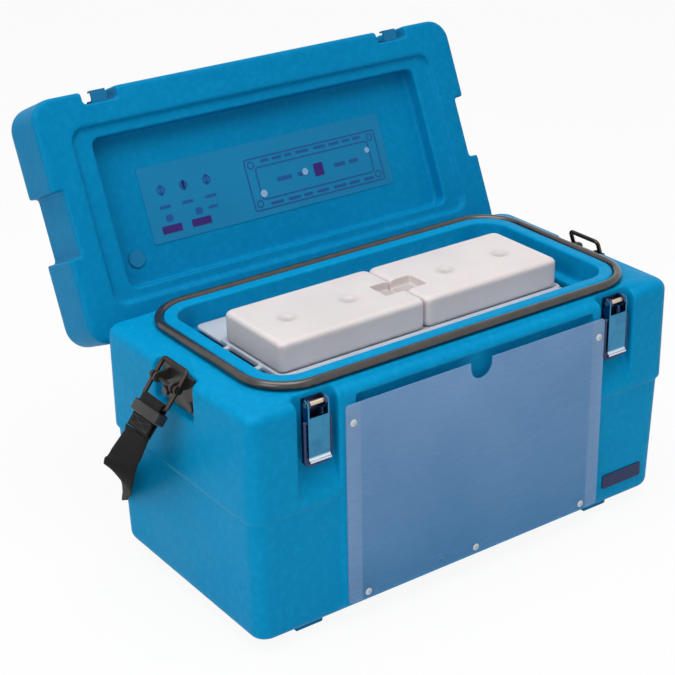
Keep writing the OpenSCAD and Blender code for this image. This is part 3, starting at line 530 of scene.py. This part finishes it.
# Two halves meet at row MIDDLE, in SLICES a row
STRAP_W, STRAP_T = 38 * MM, 2 * MM
MIDDLE, SLICES = 12, 8
left_rows = [way_row(i / SLICES) for i in range(MIDDLE * SLICES + 1)]
right_rows = [way_row(i / SLICES) for i in range(MIDDLE * SLICES, (len(WAY) - 1) * SLICES + 1)]
for side, rows in ((-1, left_rows), (1, right_rows)):
    half = ribbon(f"shoulder_strap_{NAMES[side]}_half", rows, STRAP_W, STRAP_T)
    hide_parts("shoulder_strap")
    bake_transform(half)


# The sewn loop at each end of the webbing, its slider and stitching
def ring_frame(side):
    """Matrix from the ring's own frame (x outwards, z up from the pin) to the row frame."""
    turn = Matrix.Rotation(math.pi if side < 0 else 0, 4, "Z")
    swing = Matrix.Rotation(-math.radians(SWING[side]), 4, "Y")
    return turn @ Matrix.Translation(Vector((RING_X, 0, RING_Z)) * MM) @ swing


# Ring's bar below its pin, loop round it to the webbing's middle, and length of the turned-back end
BAR, LOOP_R, END_DROP = -23 * MM, 3.8 * MM, 32 * MM
LAYER_STEPS = (0, 0.15, 0.35, 0.55, 0.75, 0.9)
TURN_STEPS = 14


def layer_out(t):
    """Share of LOOP_R at which each turned-back layer runs, t from its low end to the bar."""
    return 0.55 if t < 0.3 else min(0.55 + (t - 0.3) * 0.75, 1)


def sewn_end(side):
    """Webbing up one side, over the ring's bar and down the other side."""
    low = BAR - END_DROP
    up = [Vector((LOOP_R * layer_out(t), 0, low + (END_DROP - MM) * t)) for t in LAYER_STEPS]
    turns = [math.pi * k / TURN_STEPS for k in range(TURN_STEPS + 1)]
    over = [Vector((LOOP_R * math.cos(a), 0, BAR + LOOP_R * math.sin(a))) for a in turns]
    path = up + over + [Vector((-p.x, 0, p.z)) for p in reversed(up)]
    matrix = ring_frame(side)
    turn = matrix.to_3x3()
    across = Vector((0, 1, 0))
    rows = []
    for i, p in enumerate(path):
        t = (path[min(i + 1, len(path) - 1)] - path[max(i - 1, 0)]).normalized()
        rows.append((matrix @ p, turn @ across, turn @ t.cross(across).normalized()))
    end = ribbon(f"strap_end_{NAMES[side]}_webbing", rows, STRAP_W, STRAP_T)
    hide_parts(f"strap_end_{NAMES[side]}")
    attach(end, f"ring_{NAMES[side]}")


def rounded_frame(name, outer, inner, height, radius, matrix):
    """A flat moulded frame round an opening, with rounded edges: the slider."""
    bm = bmesh.new()

    def loop(lx, ly, r, z):
        points = []
        for cx, cy, start in ((1, 1, 0), (-1, 1, 90), (-1, -1, 180), (1, -1, 270)):
            for k in range(5):
                a = math.radians(start + 22.5 * k)
                x, y = cx * (lx - r) + r * math.cos(a), cy * (ly - r) + r * math.sin(a)
                points.append(bm.verts.new((x, y, z)))
        return points

    chamfer = 0.9 * MM
    ease = 0.6 * chamfer
    lead = 0.4 * chamfer
    h = height / 2
    sections = ((outer, 0, radius, chamfer - h), (outer, 0, radius, h - chamfer),
                (outer, -chamfer, radius, h), (inner, lead, radius * 0.4, h),
                (inner, 0, radius * 0.4, h - ease), (inner, 0, radius * 0.4, ease - h),
                (inner, lead, radius * 0.4, -h), (outer, -chamfer, radius, -h))
    rings = [loop(size[0] + grow, size[1] + grow, r, z) for size, grow, r, z in sections]
    for i in range(len(rings)):
        a, b = rings[i], rings[(i + 1) % len(rings)]
        for k in range(len(a)):
            m = (k + 1) % len(a)
            bm.faces.new((a[k], a[m], b[m], b[k]))
    bmesh.ops.recalc_face_normals(bm, faces=bm.faces)
    bm.transform(matrix)
    return smooth(mesh_object(name, bm))


# Slider: half opening across the layers and across the webbing, wall, height and drop below the bar
SLIDER_IN = (5.1 * MM, 19.3 * MM)
SLIDER_OUT = (6.6 * MM, 23 * MM)
SLIDER_H, SLIDER_R, SLIDER_DROP = 12 * MM, 1.2 * MM, 11 * MM
for side in SIDES:
    sewn_end(side)
    matrix = ring_frame(side) @ Matrix.Translation((0, 0, BAR - SLIDER_DROP))
    name = f"strap_slider_{NAMES[side]}_moulding"
    slider = rounded_frame(name, SLIDER_OUT, SLIDER_IN, SLIDER_H, SLIDER_R, matrix)
    dress(slider, "slider_black")
    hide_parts(f"strap_slider_{NAMES[side]}")
    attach(slider, f"ring_{NAMES[side]}")


# Box stitching on both faces of each sewn end: stitch size, pitch, and the box above the low end
STITCH = (0.45 * MM, 2.4 * MM, 0.7 * MM)
PITCH = 3.4 * MM
BOX_Y, BOX_LOW, BOX_TOP = 15.5 * MM, 3 * MM, 12.5 * MM


def stitching(side):
    """A stitched box with both diagonals, as small raised stitches."""
    bm = bmesh.new()
    corners = [Vector(c) for c in ((-BOX_Y, BOX_LOW), (BOX_Y, BOX_LOW), (BOX_Y, BOX_TOP), (-BOX_Y, BOX_TOP))]
    runs = [(corners[a], corners[b]) for a, b in ((0, 1), (1, 2), (2, 3), (3, 0), (0, 2), (1, 3))]
    for face in SIDES:
        for a, b in runs:
            count = round((b - a).length / PITCH)
            turn = math.atan2(b.y - a.y, b.x - a.x)
            for k in range(count):
                spot = a.lerp(b, (k + 0.5) / count)
                out = face * (LOOP_R * layer_out(spot.y / (END_DROP - MM)) + STRAP_T / 2)
                place = Matrix.Translation((out, spot.x, BAR - END_DROP + spot.y))
                place = place @ Matrix.Rotation(turn, 4, "X") @ Matrix.Diagonal((*STITCH, 1))
                bmesh.ops.create_uvsphere(bm, u_segments=8, v_segments=4, radius=0.5, matrix=place)
    bm.transform(ring_frame(side))
    thread = smooth(mesh_object(f"strap_end_{NAMES[side]}_stitches", bm), math.radians(80))
    dress(thread, "webbing_black", "thread_black")
    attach(thread, f"ring_{NAMES[side]}")


for side in SIDES:
    stitching(side)


# Screws of the window in millimetres: the sheet's back, gap under a head, and insets from the sheet's edges
SHEET_BACK, HEAD_GAP = -140.15, 0.15
TOP_INSET, LOW_INSET, SIDE_INSET, LOW_SIDE_INSET = 20, 7, 8, 24
MIDDLE_X = -4
SCREW_FRONT = (SHEET_BACK - SHEET_T - HEAD_GAP) * MM
SCREW_TOP, SCREW_LOW = SHEET_Z + SHEET_H - TOP_INSET, SHEET_Z + LOW_INSET
TOP_X, LOW_X = SHEET_W / 2 - SIDE_INSET, SHEET_W / 2 - LOW_SIDE_INSET
SCREWS = ((-TOP_X, SCREW_TOP), (TOP_X, SCREW_TOP),
          (-LOW_X, SCREW_LOW), (LOW_X, SCREW_LOW), (MIDDLE_X, SCREW_LOW))
# Rounded head: radius and height in millimetres, from its crown to its seat
HEAD = ((0.0, 1.75), (1.4, 1.7), (2.6, 1.4), (3.5, 0.9), (4.0, 0.25), (4.0, 0.0))
# Shank: radius, length, and how far its middle lies behind the head's seat
SHANK_R, SHANK_L, SHANK_IN = 1.6 * MM, 10 * MM, 4.9 * MM
# Crossed slot: length, depth and width of the cutter, and its turn from one screw to the next
SLOT, SLOT_TURN = (4.2 * MM, 1.7 * MM, 0.8 * MM), 31


def screw_heads():
    """Pan heads with a crossed slot, each turned its own way."""
    bm = bmesh.new()
    sides = 28
    turns = [2 * math.pi * k / sides for k in range(sides)]
    spots = [Vector(((SHEET_X + x) * MM, SCREW_FRONT, z * MM)) for x, z in SCREWS]
    for centre in spots:
        rings = []
        for r, h in HEAD[1:]:
            circle = [Vector((r * math.cos(a), -h, r * math.sin(a))) * MM for a in turns]
            rings.append([bm.verts.new(centre + point) for point in circle])
        cap = bm.verts.new(centre + Vector((0, -HEAD[0][1] * MM, 0)))
        for k in range(sides):
            m = (k + 1) % sides
            bm.faces.new((cap, rings[0][k], rings[0][m]))
            for a, b in zip(rings, rings[1:]):
                bm.faces.new((a[k], b[k], b[m], a[m]))
        bm.faces.new(rings[-1])
        place = Matrix.Translation(centre + Vector((0, SHANK_IN, 0))) @ Matrix.Rotation(math.pi / 2, 4, "X")
        bmesh.ops.create_cone(bm, cap_ends=True, segments=16, radius1=SHANK_R, radius2=SHANK_R,
                              depth=SHANK_L, matrix=place)
    bmesh.ops.recalc_face_normals(bm, faces=bm.faces)
    heads = mesh_object("window_screw_heads", bm)
    cutters = bmesh.new()
    for n, centre in enumerate(spots):
        for half in (0, 90):
            place = (Matrix.Translation(centre - Vector((0, HEAD[0][1] * MM, 0)))
                     @ Matrix.Rotation(math.radians(half + SLOT_TURN * n), 4, "Y")
                     @ Matrix.Diagonal((*SLOT, 1)))
            bmesh.ops.create_cube(cutters, size=1, matrix=place)
    cutter = mesh_object("slot_cutter", cutters)
    carve = heads.modifiers.new("slots", "BOOLEAN")
    carve.operation, carve.solver, carve.object = "DIFFERENCE", "EXACT", cutter
    carve.use_self = True
    apply_all(heads)
    bpy.data.objects.remove(cutter)
    return smooth(heads)


heads = dress(screw_heads(), "latch_steel", "screw_nickel")
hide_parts("window_screws")
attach(heads, "base")


# Generic marks on the lid's film, drawn on the closed lid in millimetres and opened about its hinge
RIM, RECESS, FILM_T, FILM_GAP = 283.95, 24, 0.5, 0.15
HINGE_AXIS = Vector((0, 128.5, 252.95)) * MM
LID_OPEN = math.radians(-114)
HINGE = (Matrix.Translation(HINGE_AXIS) @ Matrix.Rotation(LID_OPEN, 4, "X")
         @ Matrix.Translation(-HINGE_AXIS))
FILM_Z = RIM + RECESS - FILM_GAP - FILM_T


def flat_marks(name, shapes, material, lift):
    """Printed shapes as a thin layer: each is an outline and its hole, if any, in lid millimetres."""
    bm = bmesh.new()
    thick = 0.12
    for outline, hole in shapes:
        loops = []
        for points in (outline, hole):
            if points:
                levels = [(FILM_Z - lift - d) * MM for d in (0, thick)]
                loops.append([[bm.verts.new((x * MM, y * MM, z)) for x, y in points] for z in levels])
        if hole:
            (a0, a1), (b0, b1) = loops
            for k in range(len(a0)):
                m = (k + 1) % len(a0)
                bm.faces.new((a0[k], a0[m], b0[m], b0[k]))
                bm.faces.new((a1[k], a1[m], b1[m], b1[k]))
                bm.faces.new((a0[k], a0[m], a1[m], a1[k]))
                bm.faces.new((b0[k], b0[m], b1[m], b1[k]))
        else:
            a0, a1 = loops[0]
            bm.faces.new(a0)
            bm.faces.new(a1)
            for k in range(len(a0)):
                m = (k + 1) % len(a0)
                bm.faces.new((a0[k], a0[m], a1[m], a1[k]))
    bmesh.ops.recalc_face_normals(bm, faces=bm.faces)
    bm.transform(HINGE)
    obj = mesh_object(name, bm)
    dress(obj, "film_teal", material)
    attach(obj, "lid")


def rectangle(cx, cy, w, h, r):
    points = []
    for sx, sy, start in ((1, 1, 0), (-1, 1, 90), (-1, -1, 180), (1, -1, 270)):
        for k in range(6):
            a = math.radians(start + 18 * k)
            points.append((cx + sx * (w / 2 - r) + r * math.cos(a), cy + sy * (h / 2 - r) + r * math.sin(a)))
    return points


def disc(cx, cy, r):
    turns = [2 * math.pi * k / 28 for k in range(28)]
    return [(cx + r * math.cos(a), cy + r * math.sin(a)) for a in turns]


def band(cx, cy, w, h, line, r):
    return rectangle(cx, cy, w, h, r), rectangle(cx, cy, w - 2 * line, h - 2 * line, max(r - line, 0.4))


# At the right, a double frame with corner discs, two rows of dashes, a square, bars and pale discs
FRAME_X, FRAME_Y, FRAME_W, FRAME_H = 60, 6.5, 185, 61
CORNER_X, CORNER_Y = 84, 22.5
DASH_Y, DASH_H, DASH_FROM, DASH_TO = 25, 3.2, -70, 66
BARS = ((-44, 20), (-20, 10), (34, 16), (54, 13))
PALE_DISCS = ((-15, -1, 4), (-76, 12, 4.4), (76, -8, 3.4))
# At the left, three signs, each with a bar below it, over two violet bars
SIGNS_X, SIGN_Y = (-143, -114, -84), -13
VIOLET_X, VIOLET_STEP = -141, 38
blue, violet, pale = [], [], []
blue.append(band(FRAME_X, FRAME_Y, FRAME_W, FRAME_H, 1.5, 3))
blue.append(band(FRAME_X, FRAME_Y, FRAME_W - 25, FRAME_H - 22, 1.5, 5))
for sx in SIDES:
    for sy in SIDES:
        spot = (FRAME_X + sx * CORNER_X, FRAME_Y + sy * CORNER_Y)
        blue.append((disc(*spot, 4.6), disc(*spot, 3.2)))
dash = random.Random(4)
for sy in SIDES:
    x = FRAME_X + DASH_FROM
    while x < FRAME_X + DASH_TO:
        w = dash.uniform(9, 19)
        blue.append((rectangle(x + w / 2, FRAME_Y + sy * DASH_Y, w, DASH_H, 1), None))
        x += w + dash.uniform(4, 8)
violet.append((rectangle(FRAME_X + 4, FRAME_Y, 13, 15, 1.5), None))
for x, w in BARS:
    blue.append((rectangle(FRAME_X + x, FRAME_Y, w, 4.5, 1.5), None))
for x, y, r in PALE_DISCS:
    pale.append((disc(FRAME_X + x, FRAME_Y + y, r), None))
for k, x in enumerate(SIGNS_X):
    blue.append((disc(x, SIGN_Y, 5.2), disc(x, SIGN_Y, 3.4) if k != 1 else None))
    blue.append((rectangle(x, SIGN_Y, 3.2, 12, 1), None))
    blue.append((rectangle(x, 6, 14, 3.4, 1), None))
    if k < 2:
        violet.append((rectangle(VIOLET_X + VIOLET_STEP * k, 31, 25, 8.5, 1), None))
        blue.append((rectangle(VIOLET_X + VIOLET_STEP * k, 19, 9, 8, 3), None))
blue.append((rectangle(SIGNS_X[2], 18, 12, 3, 1), None))
flat_marks("film_marks_blue", blue, "ink_blue", 0.14)
flat_marks("film_marks_violet", violet, "ink_violet", 0.28)
flat_marks("film_marks_pale", pale, "ink_pale", 0.42)


# Floor, light and world: share of the floor shown as plain white, and the world's light and shown tone
WHITE_SHARE, WORLD_LIGHT, WORLD_TONE = 0.92, 0.36, 0.975


def background_seen(tree):
    """1 for the rays that show the background: from the camera, off metal and through the clear sheet."""
    path = tree.nodes.new("ShaderNodeLightPath")
    total = path.outputs["Is Camera Ray"]
    for ray in ("Is Glossy Ray", "Is Transmission Ray"):
        larger = tree.nodes.new("ShaderNodeMath")
        larger.operation = "MAXIMUM"
        tree.links.new(total, larger.inputs[0])
        tree.links.new(path.outputs[ray], larger.inputs[1])
        total = larger.outputs[0]
    return total


def floor(name, size, color):
    bm = bmesh.new()
    bmesh.ops.create_grid(bm, x_segments=1, y_segments=1, size=size)
    obj = mesh_object(name, bm)
    n = Net(name)
    n.set(color=color, roughness=0.9, specular=0.1)
    # the background's rays see pale paper, and a small share keeps the object's shadow
    emission = n.add("ShaderNodeEmission", Color=(1, 1, 1, 1), Strength=1.0)
    share = n.math("MULTIPLY", background_seen(n.tree), WHITE_SHARE)
    blend = n.add("ShaderNodeMixShader")
    n.link(share, blend.inputs["Fac"])
    n.link(n.shader.outputs[0], blend.inputs[1])
    n.link(emission.outputs[0], blend.inputs[2])
    output = next(x for x in n.tree.nodes if x.type == "OUTPUT_MATERIAL")
    n.link(blend.outputs[0], output.inputs["Surface"])
    obj.data.materials.append(n.mat)


floor("floor", 30, (0.86, 0.86, 0.86))

world = bpy.data.worlds.new("studio")
bpy.context.scene.world = world
world.use_nodes = True
tree = world.node_tree
background = tree.nodes["Background"]
background.inputs["Color"].default_value = (1, 1, 1, 1)
strength = tree.nodes.new("ShaderNodeMapRange")
strength.inputs["To Min"].default_value = WORLD_LIGHT
strength.inputs["To Max"].default_value = WORLD_TONE
tree.links.new(background_seen(tree), strength.inputs["Value"])
tree.links.new(strength.outputs["Result"], background.inputs["Strength"])


# Point that every lamp faces
LAMP_AIM = Vector((0, 0, 0.2))


def lamp(name, place, size, power):
    data = bpy.data.lights.new(name, "AREA")
    data.shape = "RECTANGLE"
    data.size, data.size_y = size
    data.energy = power
    obj = bpy.data.objects.new(name, data)
    obj.location = place
    obj.rotation_euler = (LAMP_AIM - Vector(place)).to_track_quat("-Z", "Y").to_euler()
    bpy.context.scene.collection.objects.link(obj)


lamp("overhead", (-0.3, -0.2, 2.6), (2.2, 1.8), 46)
lamp("left_fill", (-2.4, -0.9, 1.5), (1.6, 1.6), 20)
lamp("front_fill", (0.8, -2.6, 1.4), (1.8, 1.4), 2)
bpy.context.scene.view_settings.view_transform = "Standard"

bpy.context.view_layer.update()
